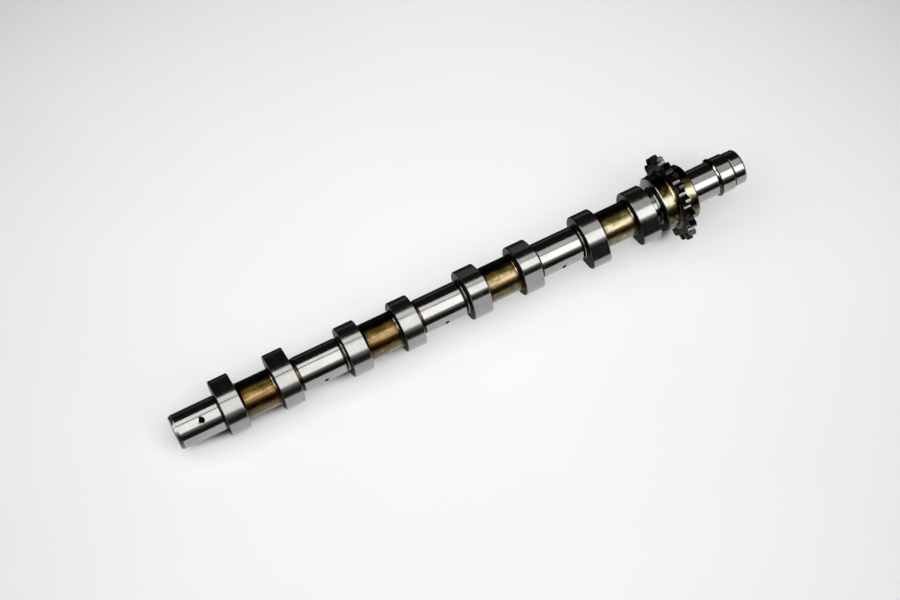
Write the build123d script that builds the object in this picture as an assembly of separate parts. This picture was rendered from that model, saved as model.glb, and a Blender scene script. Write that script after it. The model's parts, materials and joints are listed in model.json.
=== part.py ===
from build123d import *
import math
import os

# Camshaft for a four-cylinder, sixteen-valve engine, lying on its side.
# The shaft axis is X. +X runs from the plain journal end to the nose end, +Z is up.
# The origin is on the axis, in the middle of the first journal.
# Angles are about +X, from +Y (0 deg) towards +Z (90 deg).

# ---- driving dimensions, millimetres and degrees ----
cyl_pitch = 88.0            # from one cylinder to the next
pair_a_x = 41.7             # middle of the first lobe pair
lobe_offset = 19.35         # from the middle of a pair to the middle of each lobe
lobe_width = 13.7
base_r = 17.5               # base circle
nose_r = 11.35              # nose arc
nose_centre = 9.8           # nose arc centre from the shaft axis
lobe_chamfer = 0.5
cam_phase = 12.7            # nose direction of the first pair as the shaft lies
pair_phase = (0.0, -90.0, 90.0, 180.0)   # firing order 1-3-4-2

journal_r = 12.0
journal_half = 14.5         # first journal, each side of the origin
left_end_x = -16.7
left_chamfer_x = 2.2        # lead-in chamfer at the plain end
left_chamfer_r = 1.0
journal_len = 30.0          # journals two to four
journal_chamfer = 0.3
relief_r = 11.6             # grinding reliefs beside the journals
raw_r = 12.6                # cast sections inside a lobe pair
raw_fillet = 2.5            # where a cast section meets a lobe

collar_x0 = 337.9           # thrust face
collar_x1 = 345.9
collar_r = 20.0
collar_chamfer = 0.7
collar_fillet = 2.0         # collar to sprocket face
sprocket_r = 31.1           # over the teeth
teeth = 19
chain_pitch = 9.525
seat_r = 3.21               # roller seat between two teeth
sprocket_width = 5.4
tooth_phase = 180.0 / 19    # middle of the first tooth
gap_half = 4.35             # half width of a tooth gap at the tips
bevel_r = 27.5              # the tooth sides curve in from here out
bevel = 0.8                 # by this much at the tips, each side
hub_r = 19.5
hub_x1 = 362.8
hub_chamfer = 1.0

nose_journal_r = 12.0
nose_journal_x1 = 383.1
rib_r = 13.8                # thin stop rib
rib_x1 = 384.6
rib_relief_x1 = 385.1
land_r = 13.0
land_x1 = 394.7
groove_r = 12.2             # narrow groove between the land and the end spigot
groove_x1 = 396.2
spigot_r = 12.2
right_end_x = 404.2
right_chamfer = 1.2
centre_mouth_r = 4.0        # 60 degree centre in the nose end
centre_pilot_r = 1.6
centre_pilot_len = 3.0

gallery_r = 2.5             # drilled oil gallery
gallery_end_x = 264.5
plug_r = 4.0                # pressed plug that closes the gallery
plug_len = 6.0
plug_recess = 2.0
plug_dish_r = 2.4
plug_dish_depth = 1.2
mouth_r = 5.0               # 60 degree centre at the gallery's mouth
feed_hole_r = 2.1           # oil feed into the first journal
feed_hole_x = 1.2
feed_hole_deg = 110.0
bearing_hole_r = 1.6        # oil out to journals two to four
bearing_hole_deg = 181.0
hole_chamfer = 0.4
seam_deg = 40.0             # seam of the turned faces, kept clear of the oil holes

# ---- lobe stations ----
pair_x = [pair_a_x + cyl_pitch * i for i in range(4)]
lobes = []
for i, xc in enumerate(pair_x):
    for side in (-1, 1):
        lobes.append((xc + side * lobe_offset, cam_phase + pair_phase[i]))
journal_x = [0.0] + [pair_a_x + cyl_pitch * (i + 0.5) for i in range(3)]

# a plane whose local x is +Y, local y is +Z and normal is +X
def section(x):
    return Plane(origin=(x, 0, 0), x_dir=(0, 1, 0), z_dir=(1, 0, 0))


# ---- turned body: one profile, revolved about X ----
pts = []                    # (x, r) or (x, r, bulge) stations from left to right


def add(x, r):
    pts.append((x, r))


def arc(cx, cr, rad, a0, a1, n=6):
    for k in range(n + 1):
        a = math.radians(a0 + (a1 - a0) * k / n)
        pts.append((cx + rad * math.cos(a), cr + rad * math.sin(a)))


half_w = lobe_width / 2
first_face = lobes[0][0] - half_w

add(left_end_x, 0)
add(left_end_x, journal_r - left_chamfer_r)
add(left_end_x + left_chamfer_x, journal_r)
add(journal_half - journal_chamfer, journal_r)
add(journal_half, journal_r - journal_chamfer)
add(journal_half, relief_r)
add(first_face + 1.0, relief_r)
for i in range(4):
    l_in = lobes[2 * i][0] + half_w          # right face of the pair's left lobe
    r_in = lobes[2 * i + 1][0] - half_w      # left face of its right lobe
    r_out = lobes[2 * i + 1][0] + half_w     # right face of its right lobe
    add(l_in - 1.0, relief_r)
    add(l_in - 1.0, raw_r + raw_fillet)
    arc(l_in + raw_fillet, raw_r + raw_fillet, raw_fillet, 180, 270)
    arc(r_in - raw_fillet, raw_r + raw_fillet, raw_fillet, 270, 360)
    add(r_in + 1.0, raw_r + raw_fillet)
    add(r_in + 1.0, relief_r)
    if i < 3:
        j0 = journal_x[i + 1] - journal_len / 2
        j1 = journal_x[i + 1] + journal_len / 2
        add(j0, relief_r)
        add(j0, journal_r - journal_chamfer)
        add(j0 + journal_chamfer, journal_r)
        add(j1 - journal_chamfer, journal_r)
        add(j1, journal_r - journal_chamfer)
        add(j1, relief_r)
last_face = lobes[-1][0] + half_w
add(last_face - 1.0, relief_r)
add(last_face - 1.0, raw_r + 1.5)
arc(last_face + 1.5, raw_r + 1.5, 1.5, 180, 270)
arc(collar_x0 - 1.5, raw_r + 1.5, 1.5, 270, 360)
add(collar_x0, collar_r - collar_chamfer)
add(collar_x0 + collar_chamfer, collar_r)
sprocket_x0 = collar_x1 + collar_fillet
sprocket_x1 = sprocket_x0 + sprocket_width
arc(collar_x1, collar_r + collar_fillet, collar_fillet, 270, 360)
bevel_h = sprocket_r - bevel_r
bevel_arc_r = (bevel_h ** 2 + bevel ** 2) / (2 * bevel)
bevel_deg = math.degrees(math.asin(bevel_h / bevel_arc_r))
arc(sprocket_x0 + bevel_arc_r, bevel_r, bevel_arc_r, 180, 180 - bevel_deg)
arc(sprocket_x1 - bevel_arc_r, bevel_r, bevel_arc_r, bevel_deg, 0)
arc(sprocket_x1 + 1.5, hub_r + 1.5, 1.5, 180, 270)
add(hub_x1 - hub_chamfer, hub_r)
add(hub_x1, hub_r - hub_chamfer)
arc(hub_x1 + 1.0, nose_journal_r + 1.0, 1.0, 180, 270)
add(nose_journal_x1, nose_journal_r)
add(nose_journal_x1, rib_r - 0.3)
add(nose_journal_x1 + 0.3, rib_r)
add(rib_x1 - 0.3, rib_r)
add(rib_x1, rib_r - 0.3)
add(rib_x1, nose_journal_r + 0.4)
add(rib_relief_x1, nose_journal_r + 0.4)
add(rib_relief_x1, land_r - 0.2)
add(rib_relief_x1 + 0.2, land_r)
add(land_x1 - 0.3, land_r)
add(land_x1, land_r - 0.3)
add(land_x1, groove_r - 0.5)
add(groove_x1 - 0.5, groove_r - 0.5)
add(groove_x1, spigot_r)
add(right_end_x - right_chamfer, spigot_r)
add(right_end_x, spigot_r - right_chamfer * 0.6)
add(right_end_x, 0)

clean = [pts[0]]
for p in pts[1:]:
    if math.hypot(p[0] - clean[-1][0], p[1] - clean[-1][1]) > 1e-6:
        clean.append(p)

with BuildPart() as body:
    with BuildSketch(Plane.XY):
        with BuildLine():
            Polyline(*clean, close=True)
        make_face()
    revolve(axis=Axis.X, revolution_arc=360)
shaft = body.part.rotate(Axis.X, seam_deg)

# ---- lobes: base circle, two straight flanks, nose arc ----
beta = math.acos((base_r - nose_r) / nose_centre)


def lobe_face(x):
    """A lobe's outline with its nose along local +x, as a face on the section at x."""
    cb, sb = math.cos(beta), math.sin(beta)
    b_up = (base_r * cb, base_r * sb)
    b_dn = (base_r * cb, -base_r * sb)
    n_up = (nose_centre + nose_r * cb, nose_r * sb)
    n_dn = (nose_centre + nose_r * cb, -nose_r * sb)
    with BuildSketch(section(x)) as sk:
        with BuildLine():
            ThreePointArc(b_up, (-base_r, 0), b_dn)
            Line(b_dn, n_dn)
            ThreePointArc(n_dn, (nose_centre + nose_r, 0), n_up)
            Line(n_up, b_up)
        make_face()
    return sk.sketch


for xc, phase in lobes:
    with BuildPart() as lobe:
        add_face = lobe_face(xc - half_w)
        extrude(add_face, amount=lobe_width)
        ends = lobe.edges().filter_by(lambda e: abs(e.bounding_box().size.X) < 1e-6)
        chamfer(ends, length=lobe_chamfer)
    shaft = shaft + lobe.part.rotate(Axis.X, phase)

# ---- chain sprocket: the gaps between the teeth ----
pitch_r = chain_pitch / 2 / math.sin(math.pi / teeth)
tooth_step = 360.0 / teeth
with BuildPart() as gaps:
    with BuildSketch(section(sprocket_x0 - 1)):
        for k in range(teeth):
            a = math.radians(tooth_phase + (k + 0.5) * tooth_step)
            c, s = math.cos(a), math.sin(a)

            def at(u, v):
                return (u * c - v * s, u * s + v * c)

            with Locations(at(pitch_r, 0)):
                Circle(seat_r)
            with BuildLine():
                Polyline(at(pitch_r - 0.9, -3.08), at(sprocket_r, -gap_half), at(sprocket_r + 2, -gap_half - 0.6),
                         at(sprocket_r + 2, gap_half + 0.6), at(sprocket_r, gap_half), at(pitch_r - 0.9, 3.08), close=True)
            make_face()
    extrude(amount=sprocket_width + 2)
shaft = shaft - gaps.part

# ---- oil gallery, its mouth and the radial oil holes ----
gallery_len = gallery_end_x - left_end_x
cut = Plane(origin=(left_end_x, 0, 0), z_dir=(1, 0, 0)) * Cylinder(
    gallery_r, gallery_len, align=(Align.CENTER, Align.CENTER, Align.MIN))
seat_depth = plug_recess + plug_len
cut = cut + Plane(origin=(left_end_x, 0, 0), z_dir=(1, 0, 0)) * Cylinder(
    plug_r, seat_depth, align=(Align.CENTER, Align.CENTER, Align.MIN))
mouth_depth = (mouth_r - plug_r) / math.tan(math.radians(30))
cut = cut + Plane(origin=(left_end_x, 0, 0), z_dir=(1, 0, 0)) * Cone(
    mouth_r, plug_r, mouth_depth, align=(Align.CENTER, Align.CENTER, Align.MIN))
shaft = shaft - cut


def oil_hole(x, r, deg, wall_r):
    """A radial drilling with a broken edge, from the gallery out through the surface."""
    a = math.radians(deg)
    out = (0, math.cos(a), math.sin(a))
    drill = Plane(origin=(x, 0, 0), z_dir=out) * Cylinder(
        r, wall_r + 2, align=(Align.CENTER, Align.CENTER, Align.MIN))
    top = wall_r - hole_chamfer
    sink = Plane(origin=(x, out[1] * top, out[2] * top), z_dir=out) * Cone(
        r, r + hole_chamfer * 2, hole_chamfer * 2, align=(Align.CENTER, Align.CENTER, Align.MIN))
    return drill + sink


shaft = shaft - oil_hole(feed_hole_x, feed_hole_r, feed_hole_deg, journal_r)
for jx in journal_x[1:]:
    shaft = shaft - oil_hole(jx, bearing_hole_r, bearing_hole_deg, journal_r)

# ---- centre hole in the nose end ----
mouth_len = (centre_mouth_r - centre_pilot_r) / math.tan(math.radians(30))
centre = Plane(origin=(right_end_x, 0, 0), z_dir=(-1, 0, 0)) * Cone(
    centre_mouth_r, centre_pilot_r, mouth_len, align=(Align.CENTER, Align.CENTER, Align.MIN))
centre = centre + Plane(origin=(right_end_x, 0, 0), z_dir=(-1, 0, 0)) * Cylinder(
    centre_pilot_r, mouth_len + centre_pilot_len, align=(Align.CENTER, Align.CENTER, Align.MIN))
shaft = shaft - centre

# ---- gallery plug, pressed in and set back from the end face ----
plug = Plane(origin=(left_end_x + plug_recess, 0, 0), z_dir=(1, 0, 0)) * Cylinder(
    plug_r, plug_len, align=(Align.CENTER, Align.CENTER, Align.MIN))
plug_cut = Plane(origin=(left_end_x + plug_recess, 0, 0), z_dir=(1, 0, 0)) * Cone(
    plug_dish_r, plug_dish_r - 0.6, plug_dish_depth, align=(Align.CENTER, Align.CENTER, Align.MIN))
plug = plug - plug_cut

os.makedirs("parts", exist_ok=True)


def one_solid(p, name):
    s = p.solids()
    print(name, "solids", len(s), "volume mm3", round(sum(q.volume for q in s), 1), "valid", all(q.is_valid for q in s))
    return s[0] if len(s) == 1 else Compound(s)


shaft_solid = one_solid(shaft, "camshaft")
plug_solid = one_solid(plug, "gallery_plug")
bb = shaft_solid.bounding_box()
print("size", [round(v, 2) for v in (bb.size.X, bb.size.Y, bb.size.Z)], "low", [round(v, 2) for v in (bb.min.X, bb.min.Y, bb.min.Z)])
export_step(shaft_solid, "parts/camshaft.step")
export_step(plug_solid, "parts/gallery_plug.step")
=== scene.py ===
import bpy
import json
import math
import numpy as np
from mathutils import Matrix, Vector

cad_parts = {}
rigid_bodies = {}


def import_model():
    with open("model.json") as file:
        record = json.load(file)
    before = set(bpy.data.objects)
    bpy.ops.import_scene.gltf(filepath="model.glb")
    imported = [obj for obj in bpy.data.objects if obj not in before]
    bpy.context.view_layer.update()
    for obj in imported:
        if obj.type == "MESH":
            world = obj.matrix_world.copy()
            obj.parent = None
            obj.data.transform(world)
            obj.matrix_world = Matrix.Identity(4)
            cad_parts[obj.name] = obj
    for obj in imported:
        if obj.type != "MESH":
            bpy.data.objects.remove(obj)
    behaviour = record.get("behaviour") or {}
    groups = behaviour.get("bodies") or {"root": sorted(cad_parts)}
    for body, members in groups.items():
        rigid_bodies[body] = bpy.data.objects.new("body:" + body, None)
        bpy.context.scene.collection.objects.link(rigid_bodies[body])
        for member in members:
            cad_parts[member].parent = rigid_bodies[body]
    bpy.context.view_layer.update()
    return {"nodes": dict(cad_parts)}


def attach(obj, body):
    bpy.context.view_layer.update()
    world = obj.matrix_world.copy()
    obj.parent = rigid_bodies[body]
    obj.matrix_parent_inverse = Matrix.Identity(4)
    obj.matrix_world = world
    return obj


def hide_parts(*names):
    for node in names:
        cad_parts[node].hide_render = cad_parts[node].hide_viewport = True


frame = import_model()

# =====================================================================================
# 1. The shaft as one closed mesh of rings along X. Millimetres here, metres at the end.
# =====================================================================================
PAIR_X = [41.7 + 88.0 * i for i in range(4)]
PAIR_PHASE = [12.7 + d for d in (0.0, -90.0, 90.0, 180.0)]
LOBE_OFFSET, LOBE_W = 19.35, 13.7
BASE_R, NOSE_R, NOSE_C = 17.5, 11.35, 9.8
BETA = math.acos((BASE_R - NOSE_R) / NOSE_C)
JR, RELIEF_R, RAW_R = 12.0, 11.6, 12.6
TEETH, STEP = 19, 360.0 / 19
PITCH_R = 9.525 / 2 / math.sin(math.pi / 19)
SEAT_R, TIP_R, GAP_HALF = 3.21, 31.1, 4.35
SPROCKET_X0, SPROCKET_W = 347.9, 5.4
BEVEL_R, BEVEL = 27.5, 0.8

# angles of the columns: each half tooth step has its corners on a column
tip_deg = STEP / 2 - math.degrees(math.atan2(GAP_HALF, TIP_R))
root_deg = STEP / 2 - math.degrees(math.atan2(3.08, PITCH_R - 0.9))
mid_deg = STEP / 4
half = []
for a, b, n in ((0.0, tip_deg, 2), (tip_deg, root_deg, 3), (root_deg, mid_deg, 2)):
    half += [a + (b - a) * k / n for k in range(n)]
half = half + [mid_deg] + [STEP / 2 - h for h in reversed(half)]
fine = []
for k in range(TEETH):
    fine += [k * STEP + h for h in half[:-1]]
    fine += [k * STEP + STEP - h for h in reversed(half[1:])]
FINE = np.radians(np.array(fine))
COARSE = FINE[::2]
NC, NF = len(COARSE), len(FINE)

MATS = ["journal", "lobe", "lobe_side", "relief", "cast", "thrust", "brass", "sprocket_side",
        "tooth_flank", "tooth_seat", "tooth_land", "tooth_bevel", "nose", "end_face", "bore",
        "neck", "collar_fillet", "lead_in", "rib_face", "shoulder", "bead", "side_step", "lobe_edge", "rib_side"]
M = {n: i for i, n in enumerate(MATS)}

verts, faces, face_mat, loop_n = [], [], [], []


class Ring:
    def __init__(self, x, p2, n2):
        n = len(p2)
        self.x, self.p2, self.n2 = x, p2, n2
        self.start = len(verts)
        self.idx = np.arange(self.start, self.start + n)
        for (y, z) in p2:
            verts.append((x, y, z))


def circle(x, r, ang=COARSE):
    d = np.stack([np.cos(ang), np.sin(ang)], 1)
    return Ring(x, d * r, np.stack([d, d], 1))


def lobe_ring(x, phase, off=0.0):
    ph = math.radians(phase)
    a = (COARSE - ph + np.pi) % (2 * np.pi) - np.pi
    R, rn = BASE_R - off, NOSE_R - off
    an = math.atan2(rn * math.sin(BETA), NOSE_C + rn * math.cos(BETA))
    r, nrm = np.empty(NC), np.empty((NC, 2))
    for i, t in enumerate(a):
        s = abs(t)
        if s >= BETA:
            r[i] = R
            nrm[i] = (math.cos(t), math.sin(t))
        elif s <= an:
            r[i] = NOSE_C * math.cos(t) + math.sqrt(rn * rn - (NOSE_C * math.sin(t)) ** 2)
            nrm[i] = ((r[i] * math.cos(t) - NOSE_C) / rn, r[i] * math.sin(t) / rn)
        else:
            r[i] = R / math.cos(s - BETA)
            nrm[i] = (math.cos(BETA), math.copysign(math.sin(BETA), t))
    c, s = math.cos(ph), math.sin(ph)
    n2 = np.stack([nrm[:, 0] * c - nrm[:, 1] * s, nrm[:, 0] * s + nrm[:, 1] * c], 1)
    p2 = np.stack([r * np.cos(COARSE), r * np.sin(COARSE)], 1)
    return Ring(x, p2, np.stack([n2, n2], 1))


def tooth_profile():
    """Points and both-sided normals of the sprocket outline, on the fine columns."""
    p2, n2 = np.empty((NF, 2)), np.empty((NF, 2, 2))
    land = math.radians(tip_deg)
    for i, th in enumerate(FINE):
        t = th / math.radians(STEP) - 0.5
        k = round(t)                       # nearest tooth
        d_tooth = (t - k) * math.radians(STEP)          # signed angle from the tooth's middle
        side = 1.0 if d_tooth >= 0 else -1.0
        gap = math.radians(STEP) / 2 - abs(d_tooth)     # angle from the gap's middle
        gap_th = th - d_tooth + side * math.radians(STEP) / 2
        g = (math.cos(gap_th), math.sin(gap_th))
        h = (-g[1], g[0])

        def world(u, v):
            # u along the gap's middle line, v towards the tooth that this point belongs to
            return (g[0] * u - side * h[0] * v, g[1] * u - side * h[1] * v)

        fl = (GAP_HALF - 3.08, -(TIP_R - (PITCH_R - 0.9)))
        fl_len = math.hypot(*fl)
        flank_n = world(fl[0] / fl_len, fl[1] / fl_len)
        rad_n = (math.cos(th), math.sin(th))
        if abs(d_tooth) < land - 1e-9 or abs(abs(d_tooth) - land) <= 1e-6:
            p = (TIP_R * math.cos(th), TIP_R * math.sin(th))
            if abs(abs(d_tooth) - land) <= 1e-6:
                nl, nr = (rad_n, flank_n) if side > 0 else (flank_n, rad_n)
            else:
                nl = nr = rad_n
        elif abs(d_tooth) < math.radians(root_deg) - 1e-9:
            u0, v0 = PITCH_R - 0.9, 3.08
            tg = math.tan(gap)
            # line (u0 + s, v0 + s * slope) meets the ray v = u tan(gap)
            slope = (GAP_HALF - 3.08) / (TIP_R - u0)
            s = (u0 * tg - v0) / (slope - tg)
            u = u0 + s
            v = v0 + s * slope
            p = world(u, v)
            nl = nr = flank_n
        else:
            sn = PITCH_R * math.sin(gap)
            r = PITCH_R * math.cos(gap) - math.sqrt(max(SEAT_R ** 2 - sn * sn, 0))
            u, v = r * math.cos(gap), r * math.sin(gap)
            p = world(u, v)
            n = ((PITCH_R - u) / SEAT_R, -v / SEAT_R)
            if abs(abs(d_tooth) - math.radians(root_deg)) <= 1e-6:
                n = (n[0] * 0.5 + fl[0] / fl_len * 0.5, n[1] * 0.5 + fl[1] / fl_len * 0.5)
                q = math.hypot(*n)
                n = (n[0] / q, n[1] / q)
            nl = nr = world(*n)
        p2[i], n2[i, 0], n2[i, 1] = p, nl, nr
    return p2, n2


def inset(p2, n2, d):
    """The outline moved in by d along its normals."""
    m = n2[:, 0] + n2[:, 1]
    m = m / np.linalg.norm(m, axis=1)[:, None]
    c = np.clip((m * n2[:, 0]).sum(1), 0.45, 1.0)
    return p2 - m * (d / c)[:, None]


def quad(ids, normals, mat):
    """One face. Corners that fall together are dropped."""
    keep, nn = [], []
    for i, n in zip(ids, normals):
        p = verts[i]
        if keep and max(abs(a - b) for a, b in zip(p, verts[keep[-1]])) < 1e-5:
            continue
        keep.append(i)
        nn.append(n)
    if len(keep) > 1 and max(abs(a - b) for a, b in zip(verts[keep[0]], verts[keep[-1]])) < 1e-5:
        keep.pop()
        nn.pop()
    if len(keep) < 3:
        return
    faces.append(tuple(int(i) for i in keep))
    face_mat.append(mat)
    loop_n.extend(nn)


def n3(n2, t):
    v = (t[0], n2[0] * t[1], n2[1] * t[1])
    q = math.sqrt(v[0] ** 2 + v[1] ** 2 + v[2] ** 2) or 1.0
    return (v[0] / q, v[1] / q, v[2] / q)


def strip(A, B, mat, ta, tb, skip=()):
    """Faces between two rings with the same columns. ta and tb are (x part, in-plane part) of the normals."""
    n = len(A.idx)
    for k in range(n):
        if k in skip:
            continue
        j = (k + 1) % n
        m = mat[k] if isinstance(mat, list) else mat
        quad((A.idx[k], A.idx[j], B.idx[j], B.idx[k]),
             (n3(A.n2[k, 1], ta), n3(A.n2[j, 0], ta), n3(B.n2[j, 0], tb), n3(B.n2[k, 1], tb)), m)


def face_strip(A, B, mat, sign_by_radius=False):
    """A flat face square to X between two outlines at one station."""
    n = len(A.idx)
    for k in range(n):
        j = (k + 1) % n
        ra = np.linalg.norm(A.p2[k]) + np.linalg.norm(A.p2[j])
        rb = np.linalg.norm(B.p2[k]) + np.linalg.norm(B.p2[j])
        nx = -1.0 if rb > ra else 1.0
        quad((A.idx[k], A.idx[j], B.idx[j], B.idx[k]), ((nx, 0, 0),) * 4, mat)


def stitch_up(A, B, mat, nx):
    """Coarse ring A to fine ring B, both in one plane."""
    for k in range(NC):
        a0, a1 = A.idx[k], A.idx[(k + 1) % NC]
        b0, b1, b2 = B.idx[2 * k], B.idx[2 * k + 1], B.idx[(2 * k + 2) % NF]
        n = (nx, 0.0, 0.0)
        quad((a0, a1, b1), (n,) * 3, mat)
        quad((a0, b1, b0), (n,) * 3, mat)
        quad((a1, b2, b1), (n,) * 3, mat)


def stitch_down(A, B, mat, nx):
    """Fine ring A to coarse ring B, both in one plane."""
    for k in range(NC):
        b0, b1 = B.idx[k], B.idx[(k + 1) % NC]
        a0, a1, a2 = A.idx[2 * k], A.idx[2 * k + 1], A.idx[(2 * k + 2) % NF]
        n = (nx, 0.0, 0.0)
        quad((b0, a1, b1), (n,) * 3, mat)
        quad((b0, a0, a1), (n,) * 3, mat)
        quad((b1, a1, a2), (n,) * 3, mat)


def cap(A, x, mat, nx):
    """Closes a ring with a fan to the axis."""
    c = len(verts)
    verts.append((x, 0.0, 0.0))
    n = len(A.idx)
    for k in range(n):
        j = (k + 1) % n
        if nx > 0:
            quad((A.idx[k], A.idx[j], c), ((nx, 0, 0),) * 3, mat)
        else:
            quad((A.idx[j], A.idx[k], c), ((nx, 0, 0),) * 3, mat)


cur = None


def norm2(a, b):
    q = math.hypot(a, b) or 1.0
    return (a / q, b / q)


def to(x, r, mat, ta=None, tb=None, skip=()):
    """A turned stretch from the current ring to radius r at station x."""
    global cur
    r0 = float(np.linalg.norm(cur.p2[0]))
    R = circle(x, r)
    t = norm2(-(r - r0), x - cur.x)
    strip(cur, R, M[mat], ta or t, tb or t, skip)
    cur = R


def fillet(cx, cr, rad, a0, a1, mat, n=6, inside=True):
    """An arc of the turned outline. inside: the centre lies outside the metal, so the normal points to it."""
    global cur
    s = -1.0 if inside else 1.0
    prev = None
    for k in range(n + 1):
        a = math.radians(a0 + (a1 - a0) * k / n)
        x, r = cx + rad * math.cos(a), cr + rad * math.sin(a)
        t = (s * math.cos(a), s * math.sin(a))
        if prev is None:
            r0 = float(np.linalg.norm(cur.p2[0]))
            if abs(cur.x - x) > 1e-6 or abs(r0 - r) > 1e-6:
                to(x, r, mat)
        else:
            R = circle(x, r)
            strip(cur, R, M[mat], prev, t)
            cur = R
        prev = t


def edge(x, r, mat, t0, t1):
    """A broken edge: a narrow stretch whose normals turn from t0 to t1."""
    global cur
    R = circle(x, r)
    strip(cur, R, M[mat], t0, t1)
    cur = R


def drilled(x0, w, deg, a, c, wall_r, mat, depth_r=3.0, rows=8, lean=0.0, drop=None):
    """The stretch x0-w..x0+w of a journal with a radial hole of radius a and a broken edge c."""
    global cur
    drop = c if drop is None else drop
    th0 = math.radians(deg)
    half_ang = w / wall_r
    cols = [k for k in range(NC)]
    lo = min(cols, key=lambda k: abs(COARSE[k] - (th0 - half_ang)))
    hi = min(cols, key=lambda k: abs(COARSE[k] - (th0 + half_ang)))
    skip = set(range(lo, hi))
    to(x0 - w, wall_r, mat)
    rings = [cur]
    for i in range(1, rows + 1):
        to(x0 - w + 2 * w * i / rows, wall_r, mat, skip=skip)
        rings.append(cur)
    loop = [(rings[0].idx[k], 0, k) for k in range(lo, hi)]
    loop += [(rings[i].idx[hi], i, hi) for i in range(rows)]
    loop += [(rings[rows].idx[k], rows, k) for k in range(hi, lo, -1)]
    loop += [(rings[i].idx[lo], i, lo) for i in range(rows, 0, -1)]
    out = np.array((0.0, math.cos(th0), math.sin(th0)))
    tan = np.array((0.0, -math.sin(th0), math.cos(th0)))
    xh = np.array((1.0, 0.0, 0.0))
    dev, taus = [], []
    for _, i, k in loop:
        xi = rings[i].x - x0
        s = wall_r * (COARSE[k] - th0)
        dev.append((xi, s))
        taus.append(math.atan2(s, xi))

    def on_wall(xi, s):
        t = th0 + s / wall_r
        return (x0 + xi, wall_r * math.cos(t), wall_r * math.sin(t)), (0.0, math.cos(t), math.sin(t))

    def add_loop(pts):
        st = len(verts)
        verts.extend([tuple(p) for p in pts])
        return list(range(st, st + len(pts)))

    outer = [(a + c) * math.cos(t) for t in taus], [wall_r * math.asin((a + c) * math.sin(t) / wall_r) for t in taus]
    loops = [([v for v, _, _ in loop], [on_wall(*d)[1] for d in dev])]
    for f in (0.45, 0.8, 1.0):
        pn = [on_wall(d[0] * (1 - f) + outer[0][i] * f, d[1] * (1 - f) + outer[1][i] * f) for i, d in enumerate(dev)]
        loops.append((add_loop([p for p, _ in pn]), [n for _, n in pn]))
    n = len(loop)
    for (la, na), (lb, nb) in zip(loops, loops[1:]):
        for i in range(n):
            j = (i + 1) % n
            quad((la[i], la[j], lb[j], lb[i]), (na[i], na[j], nb[j], nb[i]), M[mat])
    # broken edge, wall and bottom of the drilling
    lat = [xh * math.cos(t) + tan * math.sin(t) for t in taus]
    h_out = [math.sqrt(wall_r ** 2 - ((a + c) * math.sin(t)) ** 2) for t in taus]
    prev, prev_n = loops[-1]
    slope = [math.atan2(drop, c - lean * math.cos(t)) for t in taus]
    e0 = [tuple(out * math.cos(b * 0.9) - l * math.sin(b * 0.9)) for l, b in zip(lat, slope)]
    e1 = [tuple(out * math.cos(b * 1.1) - l * math.sin(b * 1.1)) for l, b in zip(lat, slope)]
    rim = add_loop([(x0 + lean) * xh + l * a + out * (h - drop) for l, h in zip(lat, h_out)])
    for i in range(n):
        j = (i + 1) % n
        quad((prev[i], prev[j], rim[j], rim[i]), (e0[i], e0[j], e1[j], e1[i]), M[mat])
    wall_n = [tuple(-l) for l in lat]
    last = rim
    for depth in (wall_r - 3.0, depth_r):
        nxt = add_loop([(x0 + lean) * xh + l * a + out * depth for l in lat])
        for i in range(n):
            j = (i + 1) % n
            quad((last[i], last[j], nxt[j], nxt[i]), (wall_n[i], wall_n[j], wall_n[j], wall_n[i]), M["bore"])
        last = nxt
    ctr = len(verts)
    verts.append(tuple((x0 + lean) * xh + out * depth_r))
    for i in range(n):
        j = (i + 1) % n
        quad((last[i], last[j], ctr), (tuple(out),) * 3, M["bore"])


X_MINUS, X_PLUS, RADIAL = (-1.0, 0.0), (1.0, 0.0), (0.0, 1.0)

# ---- plain end: plug seat, centre cone, end face, lead-in ----
cur = circle(-8.62, 4.02)
cap(cur, -8.62, M["bore"], -1.0)
to(-14.95, 4.02, "bore")
to(-16.55, 4.95, "bore")
edge(-16.70, 5.10, "end_face", (-0.75, -0.66), (-0.98, -0.2))
to(-16.70, 8.0, "end_face")
to(-16.70, 10.9, "end_face")
edge(-16.60, 11.05, "end_face", (-0.95, 0.3), (-0.75, 0.66))
to(-14.70, 11.92, "lead_in")
edge(-14.40, 12.0, "lead_in", (-0.35, 0.94), (-0.03, 1.0))
drilled(1.2, 3.8, 109.8, 2.0, 0.62, JR, "journal", rows=12, lean=0.55, drop=0.3)
to(10.0, JR, "journal")
to(14.2, JR, "journal")
edge(14.5, 11.7, "journal", (0.25, 0.97), (0.9, 0.43))
to(14.5, 11.75, "relief", X_PLUS, X_PLUS)
edge(14.65, RELIEF_R, "relief", (0.8, 0.6), (0.1, 1.0))


def lobe(xc, phase):
    """One lobe, with the current ring at the foot of its left face."""
    global cur
    x0, x1 = xc - LOBE_W / 2, xc + LOBE_W / 2
    c = 0.45
    n2c = cur
    # left face, in two steps so that the material can vary over it
    foot = cur
    inner = lobe_ring(x0, phase, c)
    strip_flat(foot, inner, "lobe_side", -1.0)
    r1 = lobe_ring(x0 + c, phase)
    strip(inner, r1, M["lobe_edge"], (-0.93, 0.36), (-0.22, 0.975))
    r2 = lobe_ring(x1 - c, phase)
    strip(r1, r2, M["lobe"], RADIAL, RADIAL)
    r3 = lobe_ring(x1, phase, c)
    strip(r2, r3, M["lobe"], (0.05, 1.0), (0.62, 0.78))
    cur = r3


def strip_flat(A, B, mat, nx):
    n = len(A.idx)
    for k in range(n):
        j = (k + 1) % n
        quad((A.idx[k], A.idx[j], B.idx[j], B.idx[k]), ((nx, 0, 0),) * 4, M[mat])


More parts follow.
